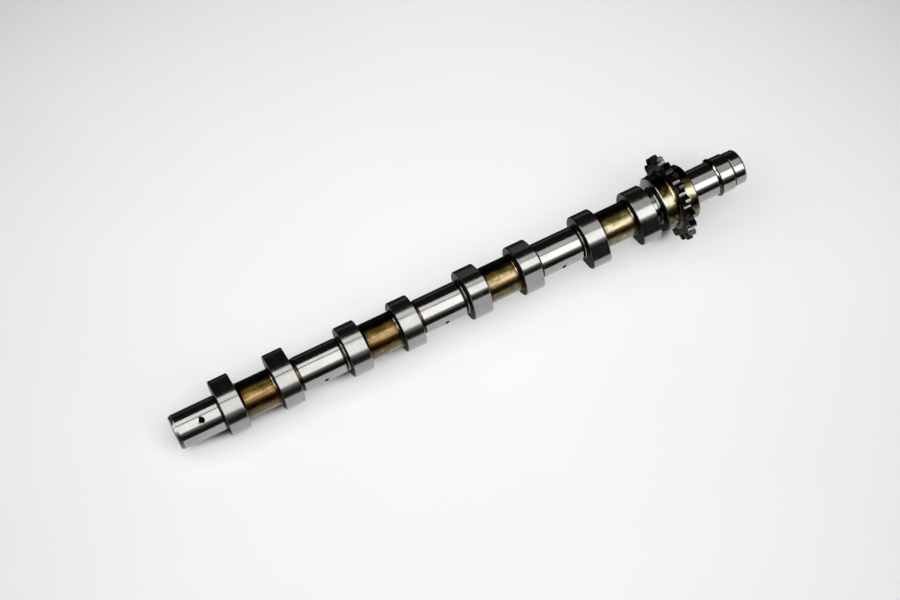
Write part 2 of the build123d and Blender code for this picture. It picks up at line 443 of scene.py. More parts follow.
for i in range(4):
    xl, xr = PAIR_X[i] - LOBE_OFFSET, PAIR_X[i] + LOBE_OFFSET
    h = LOBE_W / 2
    # relief beside the journal, with a small fillet up to the lobe
    start = xl - h - (1.3 if i else 0.55)
    to(start, RELIEF_R, "relief")
    edge(start + 0.1, RELIEF_R + 0.15, "relief", (-0.1, 1.0), (-0.8, 0.6))
    edge(start + (0.55 if i else 0.3), 12.0, "bead" if i else "relief", (-0.75, 0.66), (0.05, 1.0))
    to(xl - h - 0.1, 12.05, "relief")
    edge(xl - h, 12.2, "relief", (-0.05, 1.0), (-0.95, 0.3))
    lobe(xl, PAIR_PHASE[i])
    f = 2.5
    R = circle(xl + h, RAW_R + f)
    strip_flat(cur, R, "lobe_side", 1.0)
    cur = R
    fillet(xl + h + f, RAW_R + f, f, 180, 270, "cast", 7)
    span0, span1 = xl + h + f, xr - h - 2.75
    for k in range(1, 4):
        to(span0 + (span1 - span0) * k / 4, RAW_R, "cast")
    to(xr - h - 2.75, RAW_R, "cast")
    to(xr - h - 1.95, RAW_R, "cast")
    edge(xr - h - 1.75, RAW_R - 0.12, "relief", (0.3, 0.95), (0.8, 0.6))
    edge(xr - h - 1.15, RAW_R + 0.3, "shoulder", (-0.78, 0.62), (0.0, 1.0))
    to(xr - h - 0.15, RAW_R + 0.3, "side_step")
    edge(xr - h, RAW_R + 0.45, "side_step", (-0.3, 0.95), (-0.95, 0.3))
    lobe(xr, PAIR_PHASE[i])
    if i < 3:
        R = circle(xr + h, RELIEF_R + 0.35)
        strip_flat(cur, R, "lobe_side", 1.0)
        cur = R
        edge(xr + h + 0.35, RELIEF_R, "relief", (0.95, 0.3), (0.05, 1.0))
        jc = PAIR_X[i] + 44.0
        j0, j1 = jc - 15.0, jc + 15.0
        to(j0 - 0.15, RELIEF_R, "relief")
        edge(j0, RELIEF_R + 0.15, "relief", (-0.1, 1.0), (-0.8, 0.6))
        edge(j0, JR - 0.3, "relief", X_MINUS, X_MINUS)
        edge(j0 + 0.3, JR, "journal", (-0.9, 0.43), (-0.25, 0.97))
        to(j0 + 5.0, JR, "journal")
        drilled(jc, 2.9, 181.0, 1.6, 0.4, JR, "journal")
        to(j1 - 5.0, JR, "journal")
        to(j1 - 0.3, JR, "journal")
        edge(j1, JR - 0.3, "journal", (0.25, 0.97), (0.9, 0.43))
        edge(j1, RELIEF_R + 0.15, "relief", X_PLUS, X_PLUS)
        edge(j1 + 0.15, RELIEF_R, "relief", (0.8, 0.6), (0.1, 1.0))

# ---- neck, thrust collar ----
last = PAIR_X[3] + LOBE_OFFSET + LOBE_W / 2
R = circle(last, RAW_R + 1.5)
strip_flat(cur, R, "lobe_side", 1.0)
cur = R
fillet(last + 1.5, RAW_R + 1.5, 1.5, 180, 270, "neck", 5)
fillet(337.9 - 1.5, RAW_R + 1.5, 1.5, 270, 360, "neck", 5)
to(337.9, 16.0, "thrust")
to(337.9, 19.3, "thrust")
edge(338.6, 20.0, "neck", (-0.75, 0.66), (-0.15, 0.99))
to(342.0, 20.0, "brass")
to(345.9, 20.0, "brass")
fillet(345.9, 22.0, 2.0, 270, 360, "collar_fillet", 8)

# ---- sprocket ----
end = SPROCKET_X0 + SPROCKET_W
BEVEL_ARC = ((TIP_R - BEVEL_R) ** 2 + BEVEL ** 2) / (2 * BEVEL)
to(SPROCKET_X0, 23.0, "sprocket_side")
F = circle(SPROCKET_X0, 24.2, FINE)
stitch_up(cur, F, M["sprocket_side"], -1.0)
tp2, tn2 = tooth_profile()
t_r = np.linalg.norm(tp2, axis=1)
col_mat = []
for k in range(NF):
    a = (FINE[k] + (FINE[(k + 1) % NF] if k + 1 < NF else 2 * math.pi)) / 2
    t = a / math.radians(STEP) - 0.5
    d = abs(t - round(t)) * STEP
    col_mat.append(M["tooth_land"] if d < tip_deg else M["tooth_flank"] if d < root_deg else M["tooth_seat"])


def capped(x, cap_r, d=0.0):
    """The tooth outline at station x, moved in by d and cut off at radius cap_r."""
    p = inset(tp2, tn2, d) if d else tp2.copy()
    r = np.linalg.norm(p, axis=1)
    over = r > cap_r
    p[over] *= (cap_r / r[over])[:, None]
    R = Ring(x, p, tn2)
    R.over = over
    R.cap_r = cap_r
    return R


def tooth_strip(A, B, side, edge_t=None):
    """Between two capped outlines: bevelled tooth sides, and the walls of the gaps."""
    n = len(A.idx)
    tb = []
    for R in (A, B):
        q = min(max((R.cap_r - BEVEL_R) / BEVEL_ARC, 0.0), 1.0)
        tb.append((side * math.sqrt(1 - q * q), q))
    for k in range(n):
        j = (k + 1) % n
        ids = (A.idx[k], A.idx[j], B.idx[j], B.idx[k])
        if side and A.over[k] and A.over[j] or side and B.over[k] and B.over[j]:
            nn = []
            for R, i, t in ((A, k, tb[0]), (A, j, tb[0]), (B, j, tb[1]), (B, k, tb[1])):
                e = R.p2[i] / np.linalg.norm(R.p2[i])
                nn.append(n3(e, t))
            quad(ids, nn, M["tooth_bevel"])
        else:
            ta, tz = edge_t or (RADIAL, RADIAL)
            quad(ids, (n3(A.n2[k, 1], ta), n3(A.n2[j, 0], ta), n3(B.n2[j, 0], tz), n3(B.n2[k, 1], tz)), col_mat[k])


def bevel_cap(dx):
    return BEVEL_R + math.sqrt(max(2 * BEVEL_ARC * dx - dx * dx, 0.0))


EDGE = 0.2
steps = [EDGE, 0.45, BEVEL]
ring = capped(SPROCKET_X0, BEVEL_R, EDGE)
face_strip(F, ring, M["sprocket_side"])
for i, dx in enumerate(steps):
    nxt = capped(SPROCKET_X0 + dx, bevel_cap(dx))
    tooth_strip(ring, nxt, -1.0, ((-0.85, 0.53), (-0.35, 0.94)) if i == 0 else None)
    ring = nxt
for i, dx in enumerate(reversed(steps)):
    nxt = capped(end - dx, bevel_cap(dx))
    tooth_strip(ring, nxt, 0.0 if i == 0 else 1.0)
    ring = nxt
nxt = capped(end, BEVEL_R, EDGE)
tooth_strip(ring, nxt, 1.0, ((0.35, 0.94), (0.85, 0.53)))
G = circle(end, 24.2, FINE)
face_strip(nxt, G, M["sprocket_side"])
cur = circle(end, 23.0)
stitch_down(G, cur, M["sprocket_side"], 1.0)
to(end, 21.0, "sprocket_side")
fillet(end + 1.5, 21.0, 1.5, 180, 270, "brass", 6)
to(357.5, 19.5, "brass")
to(361.8, 19.5, "brass")
edge(362.8, 18.5, "brass", (0.25, 0.97), (0.9, 0.43))
to(362.8, 16.0, "nose")
to(362.8, 13.0, "nose")
fillet(363.8, 13.0, 1.0, 180, 270, "nose", 5)
to(370.0, 12.0, "nose")
to(382.6, 12.0, "nose")
edge(382.75, 11.8, "bore", (0.3, 0.95), (0.9, 0.4))
to(383.0, 11.5, "bore")
to(383.5, 11.5, "bore")
to(383.95, 13.5, "rib_side", (-0.62, 0.78), (-0.45, 0.89))
edge(384.1, 13.75, "side_step", (-0.9, 0.43), (-0.3, 0.95))
to(384.65, 13.75, "side_step")
edge(384.75, 13.4, "bore", (0.3, 0.95), (0.9, 0.43))
to(384.75, 12.6, "bore")
to(385.05, 12.6, "bore")
to(385.05, 12.85, "bore")
edge(385.2, 13.0, "nose", (-0.9, 0.43), (-0.3, 0.95))
to(390.0, 13.0, "nose")
to(394.4, 13.0, "nose")
edge(394.7, 12.7, "nose", (0.3, 0.95), (0.9, 0.43))
to(394.7, 11.7, "rib_face")
to(395.7, 11.7, "rib_face")
to(396.0, 12.0, "rib_face")
edge(396.2, 12.2, "nose", (-0.5, 0.87), (-0.1, 1.0))
to(400.0, 12.2, "nose")
to(403.0, 12.2, "nose")
edge(403.25, 12.08, "nose", (0.15, 0.99), (0.5, 0.87))
to(404.1, 11.56, "nose")
edge(404.2, 11.35, "end_face", (0.7, 0.71), (0.98, 0.2))
to(404.2, 8.0, "end_face")
to(404.2, 4.2, "end_face")
edge(404.05, 4.0, "end_face", (0.98, -0.2), (0.6, -0.8))
to(404.2 - 4.157, 1.6, "bore")
to(404.2 - 7.157, 1.6, "bore")
cap(cur, 404.2 - 7.157, M["bore"], 1.0)

V = np.array(verts)
used = np.unique(np.concatenate([np.array(f) for f in faces]))
new_id = -np.ones(len(V), int)
new_id[used] = np.arange(len(used))
F3 = [tuple(int(new_id[i]) for i in f) for f in faces]
coords = V[used] * 0.001

me = bpy.data.meshes.new("camshaft_surface")
me.from_pydata([tuple(c) for c in coords], [], F3)
me.polygons.foreach_set("material_index", face_mat)
me.polygons.foreach_set("use_smooth", [True] * len(F3))
me.update()
me.normals_split_custom_set([Vector(n).normalized() for n in loop_n])
shaft = bpy.data.objects.new("camshaft_body", me)
bpy.context.scene.collection.objects.link(shaft)
print("camshaft_body: verts", len(coords), "faces", len(F3), "tris", sum(len(f) - 2 for f in F3))

# =====================================================================================
# 2. Materials
# =====================================================================================


class Mat:
    def __init__(self, name, **sockets):
        self.m = bpy.data.materials.new(name)
        self.m.use_nodes = True
        self.t = self.m.node_tree
        self.t.nodes.clear()
        self.out = self.t.nodes.new("ShaderNodeOutputMaterial")
        self.b = self.t.nodes.new("ShaderNodeBsdfPrincipled")
        self.t.links.new(self.b.outputs[0], self.out.inputs[0])
        self.tc = self.t.nodes.new("ShaderNodeTexCoord")
        for k, v in sockets.items():
            self.b.inputs[k.replace("_", " ")].default_value = v

    def link(self, a, b):
        self.t.links.new(a, b)

    def put(self, sock, v):
        if hasattr(v, "is_output"):
            self.link(v, sock)
        else:
            sock.default_value = v

    def coords(self, sx=1.0, sy=1.0, sz=1.0, off=(0, 0, 0)):
        n = self.t.nodes.new("ShaderNodeMapping")
        n.inputs["Scale"].default_value = (sx, sy, sz)
        n.inputs["Location"].default_value = off
        self.link(self.tc.outputs["Object"], n.inputs["Vector"])
        return n.outputs[0]

    def noise(self, vec, scale, detail=3.0, rough=0.55, distort=0.0):
        n = self.t.nodes.new("ShaderNodeTexNoise")
        self.link(vec, n.inputs["Vector"])
        n.inputs["Scale"].default_value = scale
        n.inputs["Detail"].default_value = detail
        n.inputs["Roughness"].default_value = rough
        n.inputs["Distortion"].default_value = distort
        return n.outputs["Fac"]

    def voronoi(self, vec, scale, feature="F1", rand=1.0):
        n = self.t.nodes.new("ShaderNodeTexVoronoi")
        n.feature = feature
        self.link(vec, n.inputs["Vector"])
        n.inputs["Scale"].default_value = scale
        n.inputs["Randomness"].default_value = rand
        return n.outputs["Distance"]

    def xyz(self, i):
        n = self.t.nodes.new("ShaderNodeSeparateXYZ")
        self.link(self.tc.outputs["Object"], n.inputs[0])
        return n.outputs[i]

    def math(self, op, a, b=0.0, c=0.0, clamp=False):
        n = self.t.nodes.new("ShaderNodeMath")
        n.operation = op
        n.use_clamp = clamp
        self.put(n.inputs[0], a)
        self.put(n.inputs[1], b)
        self.put(n.inputs[2], c)
        return n.outputs[0]

    def ramp(self, v, a, b, lo=0.0, hi=1.0, smooth=True):
        n = self.t.nodes.new("ShaderNodeMapRange")
        n.interpolation_type = "SMOOTHSTEP" if smooth else "LINEAR"
        n.clamp = True
        self.put(n.inputs["Value"], v)
        self.put(n.inputs["From Min"], a)
        self.put(n.inputs["From Max"], b)
        self.put(n.inputs["To Min"], lo)
        self.put(n.inputs["To Max"], hi)
        return n.outputs["Result"]

    def mix(self, f, a, b, mode="MIX"):
        n = self.t.nodes.new("ShaderNodeMix")
        n.data_type = "RGBA"
        n.blend_type = mode
        self.put(n.inputs[0], f)
        for s, v in ((n.inputs[6], a), (n.inputs[7], b)):
            if hasattr(v, "is_output"):
                self.link(v, s)
            else:
                s.default_value = (*v, 1.0)
        return n.outputs[2]

    def around(self):
        """Degrees around the shaft axis, 0 on the generator at 110.7 deg, growing with the part's angle."""
        c, s = math.cos(math.radians(110.7)), math.sin(math.radians(110.7))
        y, z = self.xyz(1), self.xyz(2)
        a = self.math("ADD", self.math("MULTIPLY", y, c), self.math("MULTIPLY", z, s))
        b = self.math("ADD", self.math("MULTIPLY", y, -s), self.math("MULTIPLY", z, c))
        return self.math("MULTIPLY", self.math("ARCTAN2", b, a), 180 / math.pi)

    def stops(self, v, table):
        """A colour table over v, in degrees from -180 to 180."""
        n = self.t.nodes.new("ShaderNodeValToRGB")
        e = n.color_ramp.elements
        for i, (d, col) in enumerate(table):
            pos = d / 360 + 0.5
            el = e[i] if i < 2 else e.new(pos)
            el.position = pos
            el.color = (*col, 1.0)
        self.link(self.math("ADD", self.math("MULTIPLY", v, 1 / 360), 0.5), n.inputs[0])
        return n.outputs[0]

    def bump(self, height, distance, strength=1.0, normal=None):
        n = self.t.nodes.new("ShaderNodeBump")
        n.inputs["Strength"].default_value = strength
        n.inputs["Distance"].default_value = distance
        self.link(height, n.inputs["Height"])
        if normal is not None:
            self.link(normal, n.inputs["Normal"])
        return n.outputs[0]

    def set(self, sock, v):
        self.put(self.b.inputs[sock], v)
        return self


def ground_steel(name, base=(0.372, 0.371, 0.358), rough=(0.09, 0.16), stain=0.0):
    """Ground bearing steel: fine rings around the shaft, faint cloudy wear."""
    m = Mat(name, Metallic=1.0)
    rings = m.noise(m.coords(2600, 25, 25), 1.0, 3.0, 0.6)
    cloud = m.noise(m.coords(90, 160, 160), 1.0, 4.0, 0.6)
    line = m.ramp(m.noise(m.coords(900, 12, 12, (3, 5, 1)), 1.0, 2.0, 0.5), 0.62, 0.70)
    c = m.mix(m.ramp(cloud, 0.3, 0.7), tuple(v * 0.93 for v in base), tuple(v * 1.05 for v in base))
    c = m.mix(m.math("MULTIPLY", line, 0.16), c, tuple(v * 0.55 for v in base))
    m.set("Base Color", c)
    r = m.math("ADD", m.ramp(rings, 0.3, 0.7, rough[0], rough[1]), m.ramp(cloud, 0.45, 0.75, 0.0, 0.03))
    m.set("Roughness", r)
    m.set("Normal", m.bump(rings, 0.0000035))
    return m.m


def simple(name, base, rough, metallic=1.0, scale=300, var=(0.8, 1.15), bump=0.00002):
    m = Mat(name, Metallic=metallic)
    n = m.noise(m.coords(scale, scale, scale), 1.0, 4.0, 0.6)
    m.set("Base Color", m.mix(m.ramp(n, 0.3, 0.7), tuple(v * var[0] for v in base), tuple(min(v * var[1], 1) for v in base)))
    m.set("Roughness", m.ramp(n, 0.3, 0.7, rough * 0.85, rough * 1.15))
    m.set("Normal", m.bump(n, bump))
    return m.m


# CAST_GOLD and CAST_PALE: colour by angle around the shaft. The golden-brown tint is the varnish, but the rise and
# fall is painted light: the band from about -6 to 17 degrees is a painted highlight, and the bands from about -60 to
# -12 degrees and near 28 degrees are painted shade.
CAST_GOLD = [(-180, (0.10, 0.08, 0.045)), (-80, (0.08, 0.065, 0.045)), (-60, (0.040, 0.030, 0.017)), (-42, (0.034, 0.020, 0.005)),
             (-32, (0.042, 0.026, 0.006)), (-22, (0.056, 0.034, 0.006)), (-12, (0.110, 0.068, 0.014)), (-6, (0.175, 0.112, 0.034)),
             (0, (0.26, 0.180, 0.078)), (8, (0.22, 0.150, 0.066)), (17, (0.19, 0.105, 0.034)), (28, (0.100, 0.048, 0.007)),
             (42, (0.125, 0.094, 0.042)), (60, (0.19, 0.158, 0.092)), (80, (0.20, 0.18, 0.13)), (180, (0.10, 0.08, 0.045))]
CAST_PALE = [(-180, (0.10, 0.08, 0.045)), (-80, (0.08, 0.065, 0.045)), (-60, (0.040, 0.030, 0.017)), (-42, (0.040, 0.026, 0.006)),
             (-32, (0.060, 0.042, 0.010)), (-22, (0.095, 0.068, 0.015)), (-12, (0.17, 0.130, 0.040)), (-6, (0.30, 0.245, 0.12)),
             (0, (0.42, 0.370, 0.255)), (8, (0.39, 0.340, 0.24)), (17, (0.30, 0.22, 0.13)), (28, (0.17, 0.110, 0.042)),
             (42, (0.18, 0.160, 0.085)), (60, (0.24, 0.222, 0.145)), (80, (0.24, 0.225, 0.19)), (180, (0.10, 0.08, 0.045))]
# COLLAR and COLLAR_FILLET: colour by angle around the shaft over the varnish tint. In COLLAR the pale band from about
# -7 to 11 degrees is a painted highlight, and the bands from about -56 to -13 degrees and near 34 degrees are painted
# shade. In COLLAR_FILLET the band from about -14 to -3 degrees is a painted highlight, and the rest is dark as painted
# shade.
COLLAR = [(-180, (0.10, 0.09, 0.06)), (-72, (0.15, 0.13, 0.095)), (-56, (0.060, 0.046, 0.020)), (-42, (0.036, 0.024, 0.006)), (-30, (0.028, 0.019, 0.003)),
          (-20, (0.046, 0.031, 0.004)), (-13, (0.100, 0.074, 0.017)), (-7, (0.24, 0.205, 0.085)), (-2, (0.36, 0.335, 0.20)),
          (4, (0.37, 0.36, 0.29)), (11, (0.36, 0.345, 0.275)), (20, (0.17, 0.145, 0.072)), (34, (0.098, 0.083, 0.042)),
          (50, (0.175, 0.155, 0.100)), (75, (0.18, 0.165, 0.12)), (180, (0.08, 0.07, 0.04))]
COLLAR_FILLET = [(-180, (0.20, 0.18, 0.15)), (-66, (0.26, 0.23, 0.19)), (-50, (0.10, 0.08, 0.05)), (-30, (0.035, 0.020, 0.005)), (-21, (0.14, 0.080, 0.025)),
                 (-14, (0.55, 0.46, 0.30)), (-3, (0.56, 0.52, 0.33)), (3, (0.30, 0.23, 0.08)), (9, (0.06, 0.033, 0.006)),
                 (30, (0.030, 0.020, 0.008)), (60, (0.045, 0.040, 0.030)), (180, (0.05, 0.04, 0.022))]


# SHOULDER, LEAD_IN, RIB_SIDE, LOBE_EDGE and NECK: colour by angle around the shaft. Each is light in a band between
# about -25 and +9 degrees, which is a painted highlight, and dark outside it as painted shade.
SHOULDER = [(-180, (0.06, 0.05, 0.04)), (-42, (0.05, 0.035, 0.02)), (-32, (0.16, 0.10, 0.06)), (-24, (0.55, 0.41, 0.29)), (0, (0.60, 0.47, 0.34)),
            (7, (0.20, 0.12, 0.06)), (14, (0.05, 0.03, 0.012)), (180, (0.06, 0.05, 0.04))]
LEAD_IN = [(-180, (0.2, 0.2, 0.2)), (-60, (0.30, 0.298, 0.29)), (-25, (0.46, 0.458, 0.45)), (6, (0.46, 0.458, 0.45)),
           (14, (0.30, 0.298, 0.29)), (30, (0.13, 0.129, 0.127)), (70, (0.15, 0.149, 0.147)), (180, (0.2, 0.2, 0.2))]
RIB_SIDE = [(-180, (0.03, 0.029, 0.026)), (-42, (0.03, 0.029, 0.026)), (-32, (0.10, 0.097, 0.085)), (-24, (0.60, 0.58, 0.52)), (-2, (0.62, 0.60, 0.56)),
            (8, (0.12, 0.117, 0.11)), (18, (0.04, 0.038, 0.033)), (34, (0.12, 0.117, 0.10)), (62, (0.14, 0.137, 0.118)), (76, (0.03, 0.029, 0.026)), (180, (0.03, 0.029, 0.026))]
LOBE_EDGE = [(-180, (0.10, 0.10, 0.095)), (-50, (0.10, 0.10, 0.095)), (-25, (0.33, 0.33, 0.32)), (8, (0.33, 0.33, 0.32)), (22, (0.08, 0.08, 0.075)),
             (80, (0.07, 0.07, 0.066)), (180, (0.10, 0.10, 0.095))]
NECK = [(-180, (0.12, 0.12, 0.12)), (-60, (0.20, 0.198, 0.19)), (-25, (0.30, 0.298, 0.29)), (-5, (0.36, 0.358, 0.35)), (9, (0.34, 0.338, 0.33)),
        (16, (0.10, 0.098, 0.10)), (40, (0.055, 0.053, 0.055)), (70, (0.06, 0.058, 0.058)), (180, (0.12, 0.12, 0.12))]


def mottle(m, along, across, detail=5.0, off=(0, 0, 0)):
    return m.noise(m.coords(along, across, across, off), 1.0, detail, 0.62)


def cast_material():
    """Rough sections inside a pair, under a golden brown oil varnish with random streaks and specks. The colour table
    paints a highlight band and shade by angle, and the sections are darkest beside the lobes as painted shade.
    """
    m = Mat("cast_varnish_painted_light", Metallic=1.0)
    big = mottle(m, 120, 170, 5.0)
    streak = mottle(m, 45, 620, 4.0, (2, 7, 3))
    fine = mottle(m, 900, 1100, 3.0, (5, 1, 8))
    ang = m.math("ADD", m.around(), m.math("MULTIPLY", m.math("SUBTRACT", big, 0.5), 34.0))
    ang = m.math("MINIMUM", m.math("MAXIMUM", ang, -180.0), 180.0)
    pale = m.ramp(m.math("ADD", m.xyz(0), m.math("MULTIPLY", m.math("SUBTRACT", big, 0.5), 0.06)), 0.15, 0.31)
    # colour by angle from CAST_GOLD and CAST_PALE (painted highlight and shade), paler towards +X
    c = m.mix(pale, m.stops(ang, CAST_GOLD), m.stops(ang, CAST_PALE))
    gain = m.math("MULTIPLY", m.ramp(streak, 0.30, 0.70, 0.62, 1.32), m.ramp(fine, 0.25, 0.75, 0.80, 1.18))
    gain = m.math("MULTIPLY", gain, m.ramp(big, 0.35, 0.62, 0.78, 1.15))
    q = m.math("ABSOLUTE", m.math("SUBTRACT", m.math("WRAP", m.xyz(0), 0.0857, -0.0023), 0.0417))
    edge_q = m.math("ADD", q, m.math("MULTIPLY", m.math("SUBTRACT", big, 0.5), 0.007))
    # painted shade: darker towards the lobes at either end of each section
    gain = m.math("MULTIPLY", gain, m.ramp(edge_q, 0.0080, 0.0118, 1.0, 0.30))
    spot = m.ramp(m.noise(m.coords(700, 700, 700, (9, 2, 4)), 1.0, 2.0, 0.5), 0.66, 0.71)
    gain = m.math("MULTIPLY", gain, m.math("SUBTRACT", 1.0, m.math("MULTIPLY", spot, 0.62)))
    n = m.t.nodes.new("ShaderNodeCombineColor")
    for i in range(3):
        m.link(gain, n.inputs[i])
    m.set("Base Color", m.mix(1.0, c, n.outputs[0], "MULTIPLY"))
    m.set("Roughness", m.ramp(big, 0.3, 0.7, 0.20, 0.31))
    h = m.math("ADD", m.math("MULTIPLY", fine, 0.5), streak)
    m.set("Normal", m.bump(h, 0.00003))
    return m.m


def collar_material(name, table, rough=(0.16, 0.26)):
    """Turned collar and hub: oil varnish and rust in patches over clean metal, fine rings. The colour table paints a
    highlight band and shade by angle around the shaft, and the patches and the rust are kept out of a painted
    highlight band near 3 degrees.
    """
    m = Mat(name, Metallic=1.0)
    big = mottle(m, 160, 160, 5.0, (4, 4, 1))
    rings = m.noise(m.coords(2200, 30, 30), 1.0, 3.0, 0.6)
    ang = m.math("ADD", m.around(), m.math("MULTIPLY", m.math("SUBTRACT", big, 0.5), 16.0))
    ang = m.math("MINIMUM", m.math("MAXIMUM", ang, -180.0), 180.0)
    blots = mottle(m, 300, 300, 4.0, (7, 1, 2))
    patch = m.ramp(blots, 0.40, 0.60, 0.30, 1.25)
    # painted highlight band within about 8 to 16 degrees of 3 degrees; the patches and the rust stay out of it
    bright = m.ramp(m.math("ABSOLUTE", m.math("SUBTRACT", ang, 3.0)), 8.0, 16.0, 1.0, 0.0)
    gain = m.math("MULTIPLY", m.ramp(big, 0.3, 0.7, 0.85, 1.12), m.ramp(rings, 0.3, 0.7, 0.93, 1.06))
    gain = m.math("MULTIPLY", gain, m.math("MAXIMUM", patch, bright))
    n = m.t.nodes.new("ShaderNodeCombineColor")
    for i in range(3):
        m.link(gain, n.inputs[i])
    c = m.mix(1.0, m.stops(ang, table), n.outputs[0], "MULTIPLY")
    rust = m.math("MULTIPLY", m.ramp(blots, 0.38, 0.50, 1.0, 0.0), m.math("SUBTRACT", 1.0, bright))
    m.set("Base Color", m.mix(rust, c, m.mix(1.0, c, (1.35, 0.85, 0.45), "MULTIPLY")))
    m.set("Roughness", m.ramp(big, 0.3, 0.7, *rough))
    m.set("Normal", m.bump(rings, 0.000004))
    return m.m


def side_material(name, lit_half, shaded_half, rough, grazing=0.5):
    """Sides of the lobes: turned, dull and mottled, darker on the -Y half and lighter on the +Y half, a painted shade
    on one side of the face.
    """
    m = Mat(name, Metallic=1.0)
    m.b.inputs["Specular Tint"].default_value = (grazing, grazing, grazing, 1.0)
    big = mottle(m, 200, 200, 5.0, (1, 8, 2))
    fine = mottle(m, 1300, 1300, 2.0, (6, 3, 3))
    y = m.math("ADD", m.xyz(1), m.math("MULTIPLY", m.math("SUBTRACT", big, 0.5), 0.012))
    # painted shade: the -Y half takes the darker colour and the +Y half the lighter one
    c = m.mix(m.ramp(y, -0.004, 0.010), shaded_half, lit_half)
    gain = m.math("MULTIPLY", m.ramp(big, 0.3, 0.7, 0.70, 1.35), m.ramp(fine, 0.35, 0.65, 0.55, 1.5))
    n = m.t.nodes.new("ShaderNodeCombineColor")
    for i in range(3):
        m.link(gain, n.inputs[i])
    m.set("Base Color", m.mix(1.0, c, n.outputs[0], "MULTIPLY"))
    m.set("Roughness", m.ramp(fine, 0.3, 0.7, rough * 0.85, rough * 1.15))
    m.set("Normal", m.bump(fine, 0.00002))
    return m.m


def flank_material():
    """Tooth flanks: nearly black, with a painted sheen in broken bands high up and low down around the wheel."""
    m = Mat("tooth_flank", Metallic=1.0)
    blotch = mottle(m, 900, 900, 3.0, (8, 1, 4))
    side = m.math("ABSOLUTE", m.math("SUBTRACT", m.around(), 3.0))
    # painted sheen in bands from about 50 to 74 degrees either side of the generator, broken up by the blotches
    painted_sheen = m.math("MULTIPLY", m.ramp(side, 50, 58, 0.0, 1.0), m.ramp(side, 68, 74, 1.0, 0.0))
    painted_sheen = m.math("MULTIPLY", painted_sheen, m.ramp(blotch, 0.35, 0.6, 0.35, 1.0))
    m.set("Base Color", m.mix(painted_sheen, (0.010, 0.0095, 0.0085), (0.115, 0.113, 0.107)))
    m.set("Roughness", m.math("ADD", 0.33, m.math("MULTIPLY", painted_sheen, -0.08)))
    m.set("Normal", m.bump(blotch, 0.00002))
    return m.m


def seat_material():
    """Roller seats: a pale strip of wear in the middle of each gap, dark on either side, with a painted sheen high up
    and low down and painted shade at the very top and bottom of the wheel.
    """
    m = Mat("tooth_seat", Metallic=1.0)
    blotch = mottle(m, 700, 700, 3.0, (3, 2, 9))
    gap = m.math("PINGPONG", m.math("ADD", m.around(), 110.7 + 360), STEP / 2)
    gap = m.math("ADD", gap, m.math("MULTIPLY", m.math("SUBTRACT", blotch, 0.5), 1.6))
    worn_and_sheen = m.ramp(gap, 1.9, 3.1, 1.0, 0.0)
    side = m.math("ABSOLUTE", m.math("SUBTRACT", m.around(), 3.0))
    # painted sheen in the bands from about 50 to 74 degrees, as on the flanks
    worn_and_sheen = m.math("MAXIMUM", worn_and_sheen, m.math("MULTIPLY", m.ramp(side, 50, 58, 0.0, 0.7), m.ramp(side, 68, 74, 1.0, 0.0)))
    # painted shade beyond about 72 to 80 degrees, at the top and bottom of the wheel
    worn_and_sheen = m.math("MULTIPLY", worn_and_sheen, m.ramp(side, 72, 80, 1.0, 0.35))
    m.set("Base Color", m.mix(worn_and_sheen, (0.016, 0.015, 0.013), m.mix(m.ramp(blotch, 0.35, 0.65), (0.17, 0.165, 0.16), (0.26, 0.255, 0.25))))
    m.set("Roughness", m.math("ADD", 0.30, m.math("MULTIPLY", worn_and_sheen, -0.20)))
    m.set("Normal", m.bump(blotch, 0.00002))
    return m.m


def relief_material():
    """Narrow undercuts: dark oxide, with a painted golden glint near 0 degrees around the shaft, stronger where an
    undercut faces the plain end.
    """
    m = Mat("undercut_oxide_painted_glint", Metallic=1.0)
    big = mottle(m, 260, 260, 4.0, (3, 3, 9))
    ang = m.around()
    q = m.math("SUBTRACT", m.math("WRAP", m.xyz(0), 0.0857, -0.0023), 0.0417)
    after = m.ramp(q, 0.0, 0.002)
    # painted glint: golden only within about 6 to 18 degrees of the generator, broken up by the mottling
    f = m.math("MULTIPLY", m.ramp(m.math("ABSOLUTE", ang), 6.0, 18.0, 1.0, 0.0), m.ramp(big, 0.35, 0.6, 0.35, 1.0))
    f = m.math("MULTIPLY", f, m.math("ADD", 0.03, m.math("MULTIPLY", after, 0.42)))
    m.set("Base Color", m.mix(f, (0.026, 0.021, 0.014), (0.26, 0.185, 0.075)))
    m.set("Roughness", m.ramp(big, 0.3, 0.7, 0.22, 0.34))
    m.set("Normal", m.bump(big, 0.00002))
    return m.m


